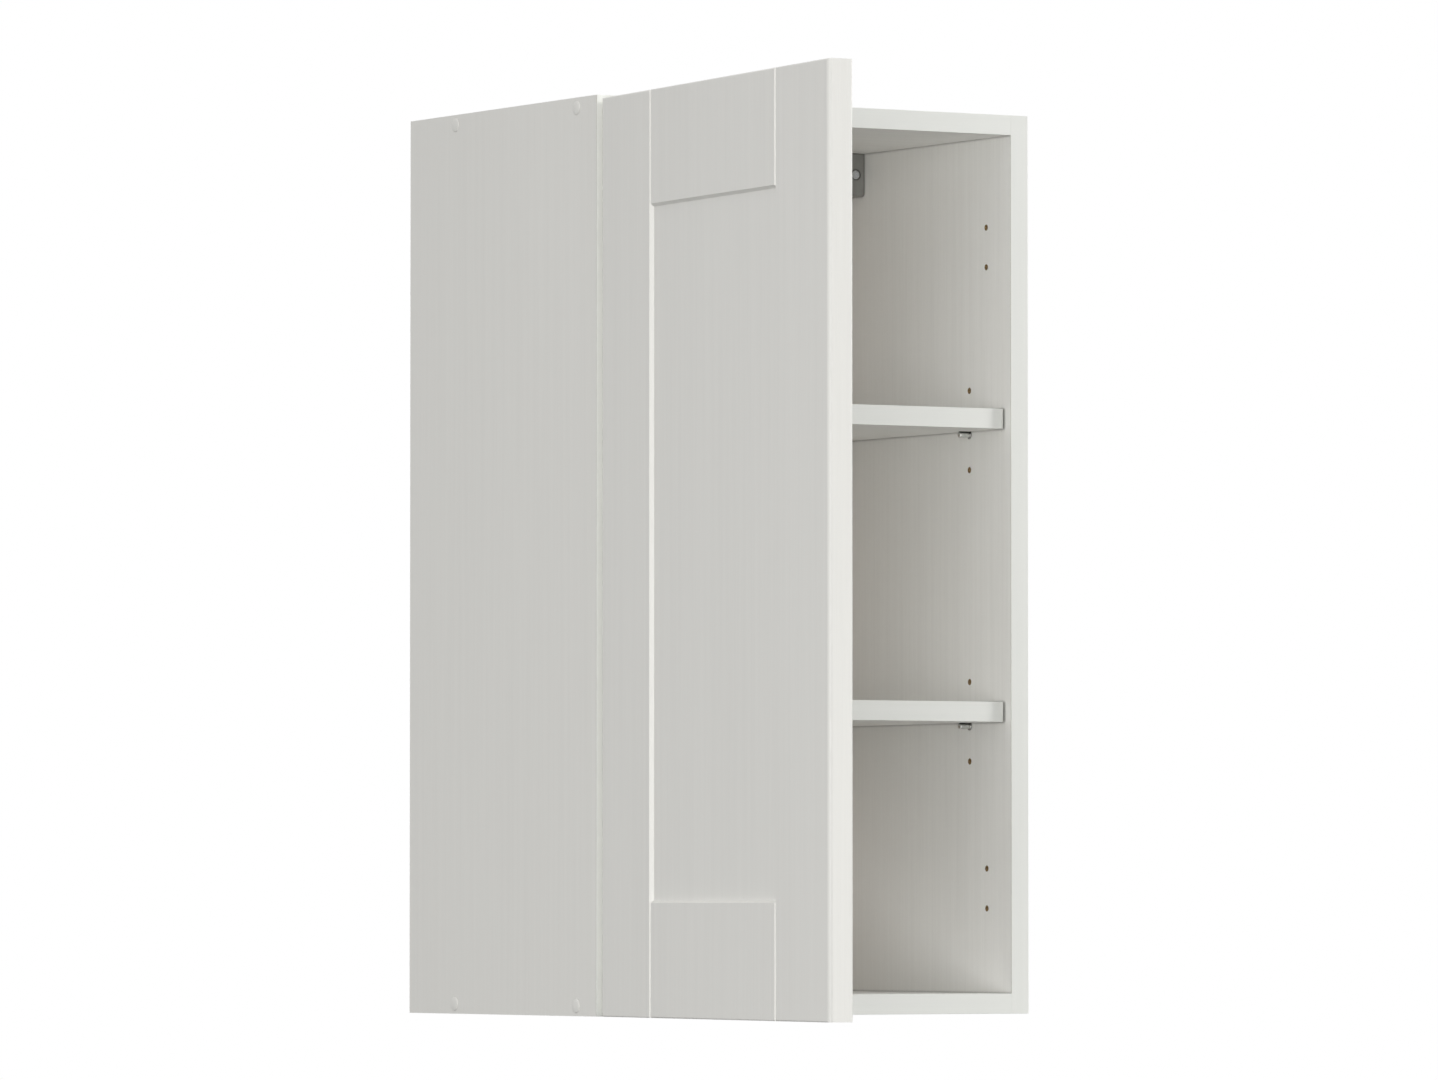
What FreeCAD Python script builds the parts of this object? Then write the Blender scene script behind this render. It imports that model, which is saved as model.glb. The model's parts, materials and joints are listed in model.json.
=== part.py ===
"""Wall cabinet with one hinged door, two loose shelves and a pair of wall hangers.

Frame: +Z up, the wall is the plane Y = 0, the front faces -Y, X = 0 is mid-width and
Z = 0 is the underside. Millimetres. The door is drawn shut and then swung open about
its hinge axis, which is how it rests.
"""
import FreeCAD
import Part
import os

doc = FreeCAD.newDocument("wall_cabinet")
V = FreeCAD.Vector
NEAR = 0.01  # how close an edge lies to the place a test names

# Driving dimensions
SIZES = {
    # carcass
    "width": 400.0,
    "height": 720.0,
    "depth": 300.0,
    "board": 16.0,
    "band": 1.0,
    "back_thick": 3.0,
    "back_inset": 15.0,
    "back_seat": 6.0,
    "back_play": 0.1,
    # carcass screws, their caps and the dowels
    "screw_front": 32.0,
    "screw_from_wall": 74.0,
    "screw_head_rad": 5.0,
    "screw_head_deep": 3.0,
    "screw_shank_rad": 3.5,
    "screw_thread_rad": 2.5,
    "screw_thread_long": 34.0,
    "fastener_play": 0.05,
    "cap_rad": 5.5,
    "cap_rise": 0.9,
    "cap_rim": 0.3,
    "cap_top_rad": 3.2,
    "dowel_front": 75.0,
    "dowel_from_wall": 118.0,
    "dowel_rad": 4.0,
    "dowel_in_side": 11.0,
    "dowel_in_end": 20.0,
    # shelves and their pegs
    "shelf_board": 16.0,
    "shelf_setback": 8.0,
    "shelf_play": 0.6,
    "shelf_back_gap": 2.0,
    "shelf_corner": 4.5,
    "upper_peg": 466.0,
    "lower_peg": 230.9,
    "spare_up": 35.5,
    "spare_down": 28.5,
    "peg_front": 62.5,
    "peg_from_wall": 45.0,
    "peg_rad": 2.5,
    "peg_hole_play": 0.05,
    "peg_hole_deep": 10.0,
    "peg_seat": 9.0,
    "peg_reach": 10.0,
    "collar_rad": 3.4,
    "collar_thick": 0.5,
    # wall hangers
    "hanger_wide": 16.0,
    "hanger_tall": 35.0,
    "hanger_long": 62.0,
    "hanger_corner": 3.0,
    "notch_play": 1.0,
    "hook_thick": 3.0,
    "hook_play": 0.3,
    "hook_tall": 10.0,
    "hook_travel": 5.0,
    "hook_inside": 36.0,
    "hook_wall_gap": 2.5,
    "hook_lip_thick": 3.0,
    "hook_lip_drop": 12.0,
    "adjuster_head_rad": 3.7,
    "adjuster_head_thick": 2.0,
    "adjuster_sink": 0.6,
    "adjuster_ring": 0.9,
    "adjuster_shank_rad": 2.5,
    "adjuster_long": 18.0,
    "adjuster_slot_wide": 1.1,
    "adjuster_slot_deep": 1.2,
    "adjuster_slot_long": 4.8,
    "turning_play": 0.08,
    "hanger_screw_back": 10.0,
    "hanger_screw_edge": 5.5,
    "hanger_screw_rad": 2.0,
    "hanger_screw_head_rad": 3.6,
    "hanger_screw_head": 1.8,
    "hanger_screw_bite": 11.0,
    # door
    "door_thick": 20.0,
    "door_reveal": 2.0,
    "door_top_gap": 3.0,
    "door_gap": 3.0,
    "door_side_round": 3.5,
    "door_end_round": 1.2,
    "door_back_round": 1.0,
    "frame_wide": 88.5,
    "hinge_stile": 87.3,
    "bevel_wide": 2.2,
    "recess_deep": 3.0,
    "groove_wide": 2.8,
    "groove_deep": 1.6,
    "groove_floor": 0.4,
    "bumper_rad": 3.5,
    "bumper_thick": 2.6,
    "bumper_from_end": 40.0,
    # hinges
    "open_angle": 94.9,
    "hinge_from_foot": 100.0,
    "hinge_from_top": 104.0,
    "plate_row": 37.0,
    "plate_hole_gap": 32.0,
    "plate_hole_rad": 2.5,
    "plate_hole_deep": 12.0,
    "plate_screw_rad": 3.15,
    "plate_thick": 2.0,
    "plate_deep": 18.0,
    "plate_tall": 48.0,
    "spine_thick": 5.0,
    "spine_tall": 11.0,
    "spine_start": 14.0,
    "spine_long": 46.0,
    "plate_screw_head_rad": 4.0,
    "plate_screw_head": 1.6,
    "plate_screw_long": 11.0,
    "arm_thick": 2.5,
    "arm_tall": 16.0,
    "arm_cheek": 1.6,
    "arm_play": 0.2,
    "arm_screw_rad": 2.0,
    "arm_screw_head_rad": 3.0,
    "arm_screw_head": 1.4,
    "arm_screw_bite": 4.0,
    "arm_screw_inset": 9.0,
    "neck_tall": 10.0,
    "neck_inset": 7.75,
    "pivot_from_edge": 8.5,
    "pivot_deep": 10.2,
    "pivot_rad": 1.25,
    "pivot_play": 0.08,
    "pivot_long": 15.0,
    "knuckle_rad": 2.4,
    "cup_rad": 17.5,
    "cup_edge": 2.5,
    "cup_deep": 14.1,
    "cup_wall": 0.8,
    "cup_play": 0.1,
    "lug_thick": 2.4,
    "lug_gap": 0.3,
    "lug_half": 2.4,
    "flange_thick": 1.0,
    "flange_half": 30.0,
    "flange_wing": 14.0,
    "flange_outer_step": 2.0,
    "cup_screw_gap": 48.0,
    "cup_screw_offset": 9.0,
    "cup_screw_rad": 1.75,
    "cup_screw_head_rad": 3.4,
    "cup_screw_head": 1.2,
    "cup_screw_bite": 11.0,
}

sheet = doc.addObject("Spreadsheet::Sheet", "dim")
for row, (alias, value) in enumerate(SIZES.items(), start=1):
    sheet.set(f"A{row}", alias)
    sheet.set(f"B{row}", str(value))
    sheet.setAlias(f"B{row}", alias)
doc.recompute()

# Places that many pieces share, worked out from the driving dimensions
OUTER = "dim.width / 2"
INNER = "(dim.width / 2 - dim.board)"
FRONT = "-dim.depth"
UNDER_TOP = "(dim.height - dim.board)"
BACK_FRONT = "-(dim.back_inset + dim.back_thick)"
SHELF_HALF = "(dim.width / 2 - dim.board - dim.shelf_play)"
SHELF_FRONT = "(dim.shelf_setback - dim.depth)"
SHELF_LONG = "(dim.depth - dim.shelf_setback - dim.back_inset - dim.back_thick - dim.shelf_back_gap)"
DOOR_LEFT = "(dim.door_reveal - dim.width / 2)"
DOOR_WIDE = "(dim.width - 2 * dim.door_reveal)"
DOOR_TALL = "(dim.height - dim.door_top_gap)"
DOOR_BACK = "-(dim.depth + dim.door_gap)"
DOOR_FRONT = "-(dim.depth + dim.door_gap + dim.door_thick)"
PIVOT_X = "(dim.door_reveal - dim.width / 2 + dim.pivot_from_edge)"
PIVOT_Y = "-(dim.depth + dim.door_gap + dim.pivot_deep)"
CUP_X = "(dim.door_reveal - dim.width / 2 + dim.cup_edge + dim.cup_rad)"
HINGE_Z = {
    "lower": "dim.hinge_from_foot",
    "upper": "(dim.height - dim.hinge_from_top)",
}
PEG_Z = {"lower": "dim.lower_peg", "upper": "dim.upper_peg"}
SIDES = {"left": -1, "right": 1}

nodes = []


# Makers of plain shapes, each bound to the sheet
def bind(obj, **bindings):
    """Tie properties to expressions; a double underscore stands for a dot."""
    for prop, expression in bindings.items():
        obj.setExpression(prop.replace("__", "."), expression)
    return obj


def at(obj, x, y, z):
    """Tie an object's place to expressions."""
    return bind(obj, Placement__Base__x=x, Placement__Base__y=y, Placement__Base__z=z)


def box(name, x, y, z, dx, dy, dz):
    """Block with its low corner at x, y, z."""
    obj = doc.addObject("Part::Box", name)
    bind(obj, Length=dx, Width=dy, Height=dz)
    return at(obj, x, y, z)


def rod(name, axis, x, y, z, radius, length):
    """Cylinder that starts at x, y, z and runs along +X, +Y or +Z."""
    turns = {"x": (V(0, 1, 0), 90), "y": (V(1, 0, 0), -90), "z": (V(0, 0, 1), 0)}
    obj = doc.addObject("Part::Cylinder", name)
    obj.Placement = FreeCAD.Placement(V(), FreeCAD.Rotation(*turns[axis]))
    bind(obj, Radius=radius, Height=length)
    return at(obj, x, y, z)


def cone(name, sign, x, y, z, base_rad, top_rad, height):
    """Cone that starts at x, y, z and narrows along +X, or along -X where the sign is negative."""
    obj = doc.addObject("Part::Cone", name)
    obj.Placement = FreeCAD.Placement(V(), FreeCAD.Rotation(V(0, 1, 0), 90 * sign))
    bind(obj, Radius1=base_rad, Radius2=top_rad, Height=height)
    return at(obj, x, y, z)


def fuse(name, pieces):
    """One solid from several that overlap or touch."""
    obj = doc.addObject("Part::MultiFuse", name)
    obj.Shapes = pieces
    obj.Refine = True
    return obj


def cut(name, base, tools):
    """A base with several tools taken out of it."""
    obj = doc.addObject("Part::Cut", name)
    obj.Base = base
    obj.Tool = tools[0] if len(tools) == 1 else fuse(name + "_tools", tools)
    return obj


def group(name, pieces):
    """Alike pieces in one node."""
    obj = doc.addObject("Part::Compound", name)
    obj.Links = pieces
    return obj


def rounded(name, base, rules):
    """Fillet on the base's edges: each rule is a test of an edge's middle and a radius."""
    doc.recompute()
    edges = []
    for number, edge in enumerate(base.Shape.Edges, start=1):
        middle = edge.CenterOfMass
        edges += [(number, radius, radius) for test, radius in rules if test(middle)]
    obj = doc.addObject("Part::Fillet", name)
    obj.Base = base
    obj.Edges = edges
    return obj


def node(obj, label):
    """A finished piece, which gets a file of its own."""
    obj.Label = label
    nodes.append(obj)
    return obj


def size(alias):
    """A driving dimension as a number, for edge tests and fillet radii."""
    return sheet.get(alias)


def mirror(sign, expression):
    """An expression on the right side, or its mirror on the left."""
    return expression if sign > 0 else f"-({expression})"


def inward(sign, wall, length):
    """Start of a length that runs into the cabinet from a wall's X."""
    return f"{wall} - ({length})" if sign > 0 else f"-({wall})"


def outward(sign, wall, length):
    """Start of a length that runs out of the cabinet from a wall's X."""
    return wall if sign > 0 else f"-({wall}) - ({length})"


def swung(obj):
    """Turn a door piece, drawn shut, about the hinge axis to its open rest."""
    obj.Placement = FreeCAD.Placement(V(), FreeCAD.Rotation(V(0, 0, -1), 1.0))
    turned_x = f"({PIVOT_X} * cos(dim.open_angle) + {PIVOT_Y} * sin(dim.open_angle))"
    turned_y = f"({PIVOT_Y} * cos(dim.open_angle) - {PIVOT_X} * sin(dim.open_angle))"
    bind(obj, Placement__Rotation__Angle="dim.open_angle")
    return at(obj, f"{PIVOT_X} - {turned_x}", f"{PIVOT_Y} - {turned_y}", "0")


# Places of the repeated fasteners
screw_rows = {
    "front": "(dim.screw_front - dim.depth)",
    "rear": "-dim.screw_from_wall",
}
dowel_rows = {
    "front": "(dim.dowel_front - dim.depth)",
    "rear": "-dim.dowel_from_wall",
}
deck_levels = {"bottom": "dim.board / 2", "top": "(dim.height - dim.board / 2)"}
peg_rows = {
    "front": "(dim.peg_front - dim.depth)",
    "rear": "-dim.peg_from_wall",
}
peg_steps = {"down": " - dim.spare_down", "seat": "", "up": " + dim.spare_up"}
plate_steps = {"low": " - dim.plate_hole_gap / 2", "high": " + dim.plate_hole_gap / 2"}
PLATE_Y = "(dim.plate_row - dim.depth)"
PLATE_BORE = "(dim.plate_screw_rad + dim.fastener_play)"
PLATE_HOLES = {"left": PLATE_BORE, "right": "dim.plate_hole_rad"}

# Side panels, grooved for the back, drilled for pegs, hinges, screws and dowels
for side, sign in SIDES.items():
    panel = box(
        f"{side}_blank", outward(sign, INNER, "dim.board"), f"{FRONT} + dim.band", "0",
        "dim.board", "dim.depth - dim.band", "dim.height")
    tools = [box(
        f"{side}_slot", outward(sign, INNER, "dim.back_seat"), f"{BACK_FRONT} - dim.back_play",
        "dim.board - dim.back_seat", "dim.back_seat", "dim.back_thick + 2 * dim.back_play",
        "dim.height - 2 * (dim.board - dim.back_seat)")]
    for shelf, level in PEG_Z.items():
        for row, y in peg_rows.items():
            for step, shift in peg_steps.items():
                tools.append(rod(
                    f"{side}_{shelf}_{row}_{step}_hole", "x", outward(sign, INNER, "dim.peg_hole_deep"),
                    y, level + shift, "dim.peg_rad + dim.peg_hole_play", "dim.peg_hole_deep"))
    # hinge holes: cut wider by the screws on the left, spare on the right
    for hinge, level in HINGE_Z.items():
        for step, shift in plate_steps.items():
            tools.append(rod(
                f"{side}_{hinge}_{step}_plate_hole", "x", outward(sign, INNER, "dim.plate_hole_deep"),
                PLATE_Y, level + shift, PLATE_HOLES[side], "dim.plate_hole_deep"))
    for deck, level in deck_levels.items():
        for row, y in screw_rows.items():
            tools.append(rod(
                f"{side}_{deck}_{row}_shank_hole", "x", outward(sign, INNER, "dim.board"), y, level,
                "dim.screw_shank_rad + dim.fastener_play", "dim.board"))
            tools.append(rod(
                f"{side}_{deck}_{row}_head_hole", "x", inward(sign, OUTER, "dim.screw_head_deep"), y, level,
                "dim.screw_head_rad + dim.fastener_play", "dim.screw_head_deep"))
        for row, y in dowel_rows.items():
            tools.append(rod(
                f"{side}_{deck}_{row}_dowel_hole", "x", outward(sign, INNER, "dim.dowel_in_side"), y, level,
                "dim.dowel_rad + dim.fastener_play", "dim.dowel_in_side"))
    # hanger screws bite into the panel
    for end, z in (
            ("low", f"{UNDER_TOP} - dim.hanger_tall + dim.hanger_screw_edge"),
            ("high", f"{UNDER_TOP} - dim.hanger_screw_edge")):
        tools.append(rod(
            f"{side}_hanger_{end}_bite", "x", outward(sign, INNER, "dim.hanger_screw_bite"),
            "dim.hanger_screw_back - dim.back_inset - dim.hanger_long", z,
            "dim.hanger_screw_rad + dim.fastener_play", "dim.hanger_screw_bite"))
    node(cut(f"{side}_side", panel, tools), f"{side}_side_panel")
    node(box(
        f"{side}_band", outward(sign, INNER, "dim.board"), FRONT, "0",
        "dim.board", "dim.band", "dim.height"), f"{side}_side_edge_band")

# Top and bottom between the sides
deck_low = {"bottom": "0", "top": UNDER_TOP}
slot_low = {"bottom": "dim.board - dim.back_seat", "top": UNDER_TOP}
for deck, low in deck_low.items():
    panel = box(
        f"{deck}_blank", f"-{INNER}", f"{FRONT} + dim.band", low,
        f"2 * {INNER}", "dim.depth - dim.band", "dim.board")
    tools = [box(
        f"{deck}_slot", f"-{INNER}", f"{BACK_FRONT} - dim.back_play", slot_low[deck],
        f"2 * {INNER}", "dim.back_thick + 2 * dim.back_play", "dim.back_seat")]
    for side, sign in SIDES.items():
        for row, y in screw_rows.items():
            tools.append(rod(
                f"{deck}_{side}_{row}_pilot", "x", inward(sign, INNER, "dim.screw_thread_long"), y,
                deck_levels[deck], "dim.screw_thread_rad + dim.fastener_play", "dim.screw_thread_long"))
        for row, y in dowel_rows.items():
            tools.append(rod(
                f"{deck}_{side}_{row}_dowel_bore", "x", inward(sign, INNER, "dim.dowel_in_end"), y,
                deck_levels[deck], "dim.dowel_rad + dim.fastener_play", "dim.dowel_in_end"))
    node(cut(deck, panel, tools), f"{deck}_panel")
    node(box(
        f"{deck}_band", f"-{INNER}", FRONT, low, f"2 * {INNER}", "dim.band", "dim.board"),
        f"{deck}_edge_band")

# Back panel in its grooves, notched at the top corners for the hangers
BACK_REACH = "(dim.back_seat - dim.back_play)"
back_blank = box(
    "back_blank", f"-({INNER} + {BACK_REACH})", BACK_FRONT, f"dim.board - {BACK_REACH}",
    f"2 * ({INNER} + {BACK_REACH})", "dim.back_thick", f"dim.height - 2 * dim.board + 2 * {BACK_REACH}")
notches = []
NOTCH_WIDE = f"(dim.hanger_wide + dim.notch_play + {BACK_REACH})"
for side, sign in SIDES.items():
    notches.append(box(
        f"{side}_notch", inward(sign, f"({INNER} + {BACK_REACH})", NOTCH_WIDE), BACK_FRONT,
        f"{UNDER_TOP} - dim.hanger_tall - dim.notch_play", NOTCH_WIDE, "dim.back_thick",
        f"dim.hanger_tall + dim.notch_play + {BACK_REACH}"))
node(cut("back", back_blank, notches), "back_panel")

# Carcass screws, their cover caps and the dowels
screws = []
dowels = []
for side, sign in SIDES.items():
    caps = []
    for deck, level in deck_levels.items():
        for row, y in screw_rows.items():
            name = f"{side}_{deck}_{row}"
            head = rod(
                f"{name}_head", "x", inward(sign, OUTER, "dim.screw_head_deep"), y, level,
                "dim.screw_head_rad", "dim.screw_head_deep")
            shank = rod(
                f"{name}_shank", "x", outward(sign, INNER, "dim.board - dim.screw_head_deep"), y, level,
                "dim.screw_shank_rad", "dim.board - dim.screw_head_deep")
            thread = rod(
                f"{name}_thread", "x", inward(sign, INNER, "dim.screw_thread_long"), y, level,
                "dim.screw_thread_rad", "dim.screw_thread_long")
            screws.append(fuse(f"{name}_screw", [head, shank, thread]))
            rim = rod(
                f"{name}_rim", "x", outward(sign, OUTER, "dim.cap_rim"), y, level,
                "dim.cap_rad", "dim.cap_rim")
            crown = cone(
                f"{name}_crown", sign, mirror(sign, f"{OUTER} + dim.cap_rim"), y, level,
                "dim.cap_rad", "dim.cap_top_rad", "dim.cap_rise - dim.cap_rim")
            caps.append(fuse(f"{name}_cap", [rim, crown]))
        for row, y in dowel_rows.items():
            start = f"{INNER} - dim.dowel_in_end"
            if sign < 0:
                start = f"-{INNER} - dim.dowel_in_side"
            dowels.append(rod(
                f"{side}_{deck}_{row}_dowel", "x", start, y, level,
                "dim.dowel_rad", "dim.dowel_in_side + dim.dowel_in_end"))
    node(group(f"{side}_caps", caps), f"{side}_cover_caps")
node(group("carcass_screw_group", screws), "carcass_screws")
node(group("dowel_group", dowels), "carcass_dowels")

# Shelves with an edge band round the front, and the pegs that carry them
for shelf, level in PEG_Z.items():
    low = f"{level} + dim.peg_rad"
    outline = box(
        f"{shelf}_outline", f"-{SHELF_HALF}", SHELF_FRONT, low,
        f"2 * {SHELF_HALF}", SHELF_LONG, "dim.shelf_board")
    inner = box(
        f"{shelf}_inner", f"-({SHELF_HALF} - dim.band)", f"{SHELF_FRONT} + dim.band", low,
        f"2 * ({SHELF_HALF} - dim.band)", f"{SHELF_LONG} - dim.band", "dim.shelf_board")
    doc.recompute()
    mid_level = size(f"{shelf}_peg") + size("peg_rad") + size("shelf_board") / 2
    front_line = size("shelf_setback") - size("depth") + 2 * size("band")


    def front_corner(middle):
        """True at the two upright edges at the shelf's front."""
        return abs(middle.z - mid_level) < NEAR and middle.y < front_line and abs(middle.x) > size("board")


    core = rounded(f"{shelf}_core", inner, [(front_corner, size("shelf_corner") - size("band"))])
    whole = rounded(f"{shelf}_whole", outline, [(front_corner, size("shelf_corner"))])
    node(core, f"{shelf}_shelf")
    node(cut(f"{shelf}_strip", whole, [core]), f"{shelf}_shelf_edge_band")
    pegs = []
    for side, sign in SIDES.items():
        for row, y in peg_rows.items():
            name = f"{side}_{shelf}_{row}"
            start = f"{INNER} - dim.peg_reach"
            if sign < 0:
                start = f"-{INNER} - dim.peg_seat"
            stem = rod(
                f"{name}_stem", "x", start, y, level, "dim.peg_rad", "dim.peg_reach + dim.peg_seat")
            collar = rod(
                f"{name}_collar", "x", inward(sign, INNER, "dim.collar_thick"), y, level,
                "dim.collar_rad", "dim.collar_thick")
            pegs.append(fuse(f"{name}_peg", [stem, collar]))
    node(group(f"{shelf}_pegs", pegs), f"{shelf}_shelf_pegs")

# Wall hangers: a housing in each top corner, a hook that rises and its adjusting screw
HANGER_REAR = "-dim.back_inset"
HANGER_FRONT = "-(dim.back_inset + dim.hanger_long)"
HANGER_MID_X = "(dim.width / 2 - dim.board - dim.hanger_wide / 2)"
HANGER_MID_Z = "(dim.height - dim.board - dim.hanger_tall / 2)"
SLOT_THICK = "(dim.hook_thick + 2 * dim.hook_play)"
SLOT_TALL = "(dim.hook_tall + 2 * dim.hook_travel + 2 * dim.hook_play)"
SLOT_LONG = "(dim.hook_inside + dim.hook_play)"
HOOK_END = "-dim.hook_wall_gap"
ADJUSTER_FACE = f"({HANGER_FRONT} + dim.adjuster_sink)"
hanger_screws = []
for side, sign in SIDES.items():
    middle_x = mirror(sign, HANGER_MID_X)
    block = box(
        f"{side}_hanger_block", inward(sign, INNER, "dim.hanger_wide"), HANGER_FRONT,
        f"{UNDER_TOP} - dim.hanger_tall", "dim.hanger_wide", "dim.hanger_long", "dim.hanger_tall")
    hanger_front = -(size("back_inset") + size("hanger_long"))
    hanger_low = size("height") - size("board") - size("hanger_tall")


    def lower_front(middle):
        """True at the housing's lower front edge."""
        return abs(middle.y - hanger_front) < NEAR and abs(middle.z - hanger_low) < NEAR


    block = rounded(f"{side}_hanger_round", block, [(lower_front, size("hanger_corner"))])
    tools = [
        box(f"{side}_hook_slot", f"{middle_x} - {SLOT_THICK} / 2", f"{HANGER_REAR} - {SLOT_LONG}",
            f"{HANGER_MID_Z} - {SLOT_TALL} / 2", SLOT_THICK, SLOT_LONG, SLOT_TALL),
        rod(f"{side}_adjuster_recess", "y", middle_x, HANGER_FRONT, HANGER_MID_Z,
            "dim.adjuster_head_rad + dim.adjuster_ring", "dim.adjuster_sink + dim.adjuster_head_thick"),
        rod(f"{side}_adjuster_bore", "y", middle_x, HANGER_FRONT, HANGER_MID_Z,
            "dim.adjuster_shank_rad + dim.turning_play", "dim.adjuster_long + 2 * dim.adjuster_sink"),
    ]
    for end, z in (
            ("low", f"{UNDER_TOP} - dim.hanger_tall + dim.hanger_screw_edge"),
            ("high", f"{UNDER_TOP} - dim.hanger_screw_edge")):
        name = f"{side}_hanger_{end}"
        y = f"{HANGER_FRONT} + dim.hanger_screw_back"
        face = f"({INNER} - dim.hanger_wide)"
        tools.append(rod(
            f"{name}_hole", "x", inward(sign, INNER, "dim.hanger_wide"), y, z,
            "dim.hanger_screw_rad + dim.fastener_play", "dim.hanger_wide"))
        tools.append(rod(
            f"{name}_sink", "x", outward(sign, face, "dim.hanger_screw_head"), y, z,
            "dim.hanger_screw_head_rad + dim.fastener_play", "dim.hanger_screw_head"))
        head = rod(
            f"{name}_head", "x", outward(sign, face, "dim.hanger_screw_head"), y, z,
            "dim.hanger_screw_head_rad", "dim.hanger_screw_head")
        body_long = "(dim.hanger_wide + dim.hanger_screw_bite)"
        body = rod(f"{name}_body", "x", outward(sign, face, body_long), y, z, "dim.hanger_screw_rad", body_long)
        hanger_screws.append(fuse(f"{name}_screw", [head, body]))
    node(cut(f"{side}_hanger", block, tools), f"{side}_hanger_housing")

    arm = box(
        f"{side}_hook_arm", f"{middle_x} - dim.hook_thick / 2", f"{HANGER_REAR} - dim.hook_inside",
        f"{HANGER_MID_Z} - dim.hook_tall / 2", "dim.hook_thick",
        "dim.hook_inside + dim.back_inset - dim.hook_wall_gap", "dim.hook_tall")
    lip = box(
        f"{side}_hook_lip", f"{middle_x} - dim.hook_thick / 2", f"{HOOK_END} - dim.hook_lip_thick",
        f"{HANGER_MID_Z} - dim.hook_tall / 2 - dim.hook_lip_drop", "dim.hook_thick",
        "dim.hook_lip_thick", "dim.hook_tall + dim.hook_lip_drop")
    node(fuse(f"{side}_hook", [arm, lip]), f"{side}_hanger_hook")

    head = rod(
        f"{side}_adjuster_head", "y", middle_x, ADJUSTER_FACE, HANGER_MID_Z,
        "dim.adjuster_head_rad", "dim.adjuster_head_thick - dim.turning_play")
    shank = rod(
        f"{side}_adjuster_shank", "y", middle_x, ADJUSTER_FACE, HANGER_MID_Z,
        "dim.adjuster_shank_rad", "dim.adjuster_long")
    bar_long = "dim.adjuster_slot_long"
    slots = [
        box(f"{side}_adjuster_slot_a", f"{middle_x} - {bar_long} / 2", ADJUSTER_FACE,
            f"{HANGER_MID_Z} - dim.adjuster_slot_wide / 2", bar_long, "dim.adjuster_slot_deep",
            "dim.adjuster_slot_wide"),
        box(f"{side}_adjuster_slot_b", f"{middle_x} - dim.adjuster_slot_wide / 2", ADJUSTER_FACE,
            f"{HANGER_MID_Z} - {bar_long} / 2", "dim.adjuster_slot_wide", "dim.adjuster_slot_deep", bar_long),
    ]
    node(cut(f"{side}_adjuster", fuse(f"{side}_adjuster_blank", [head, shank]), slots), f"{side}_hanger_adjuster")
node(group("hanger_screw_group", hanger_screws), "hanger_screws")

# Door: a board with eased edges, a sunk centre panel, grooves that mark the rails, two cup bores
door_box = box("door_box", DOOR_LEFT, DOOR_FRONT, "0", DOOR_WIDE, "dim.door_thick", DOOR_TALL)
doc.recompute()
door_front_y = -(size("depth") + size("door_gap") + size("door_thick"))
door_back_y = -(size("depth") + size("door_gap"))
door_middle_z = (size("height") - size("door_top_gap")) / 2


def on_door_side(middle):
    """True at the two upright edges of the door's face."""
    return abs(middle.y - door_front_y) < NEAR and abs(middle.z - door_middle_z) < NEAR


def on_door_end(middle):
    """True at the upper and lower edges of the door's face."""
    return abs(middle.y - door_front_y) < NEAR and abs(middle.z - door_middle_z) > NEAR


def on_door_back(middle):
    """True at the four edges round the door's inside."""
    return abs(middle.y - door_back_y) < NEAR


door_blank = rounded("door_blank", door_box, [
    (on_door_side, size("door_side_round")), (on_door_end, size("door_end_round")),
    (on_door_back, size("door_back_round"))])


def wedge(name, x, z, wide, tall, deep, ease_x, ease_z):
    """Cutter in the door's face that narrows as it goes in; x and z are its low corner there."""
    obj = doc.addObject("Part::Wedge", name)
    bind(obj, Xmin="0", Ymin="0", Zmin="0", Xmax=wide, Ymax=deep, Zmax=tall)
    bind(obj, X2min=ease_x, Z2min=ease_z, X2max=f"{wide} - {ease_x}", Z2max=f"{tall} - {ease_z}")
    return at(obj, x, DOOR_FRONT, z)


PANEL_WIDE = f"({DOOR_WIDE} - dim.hinge_stile - dim.frame_wide)"
PANEL_TALL = f"({DOOR_TALL} - 2 * dim.frame_wide)"
GROOVE_EASE = "((dim.groove_wide - dim.groove_floor) / 2)"
GROOVE_LONG = "(dim.frame_wide + dim.bevel_wide)"
door_tools = [wedge(
    "door_recess", f"{DOOR_LEFT} + dim.hinge_stile", "dim.frame_wide", PANEL_WIDE, PANEL_TALL,
    "dim.recess_deep", "dim.bevel_wide", "dim.bevel_wide")]
groove_starts = {
    "hinge": f"{DOOR_LEFT} + dim.hinge_stile",
    "free": f"{DOOR_LEFT} + {DOOR_WIDE} - dim.frame_wide - dim.groove_wide",
}
groove_lows = {"lower": "0", "upper": f"{DOOR_TALL} - {GROOVE_LONG}"}
for stile, x in groove_starts.items():
    for rail, z in groove_lows.items():
        door_tools.append(wedge(
            f"{stile}_{rail}_groove", x, z, "dim.groove_wide", GROOVE_LONG, "dim.groove_deep",
            GROOVE_EASE, "0"))
cup_screw_x = f"({CUP_X} + dim.cup_screw_offset)"
for hinge, level in HINGE_Z.items():
    door_tools.append(rod(
        f"{hinge}_cup_bore", "y", CUP_X, f"{DOOR_BACK} - dim.cup_deep - dim.cup_play", level,
        "dim.cup_rad + dim.cup_play", "dim.cup_deep + dim.cup_play"))
    for step in (" - dim.cup_screw_gap / 2", " + dim.cup_screw_gap / 2"):
        door_tools.append(rod(
            f"{hinge}_cup_screw_bore", "y", cup_screw_x, f"{DOOR_BACK} - dim.cup_screw_bite", level + step,
            "dim.cup_screw_rad + dim.fastener_play", "dim.cup_screw_bite"))
door = cut("door", door_blank, door_tools)
node(swung(door), "door_panel")

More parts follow.
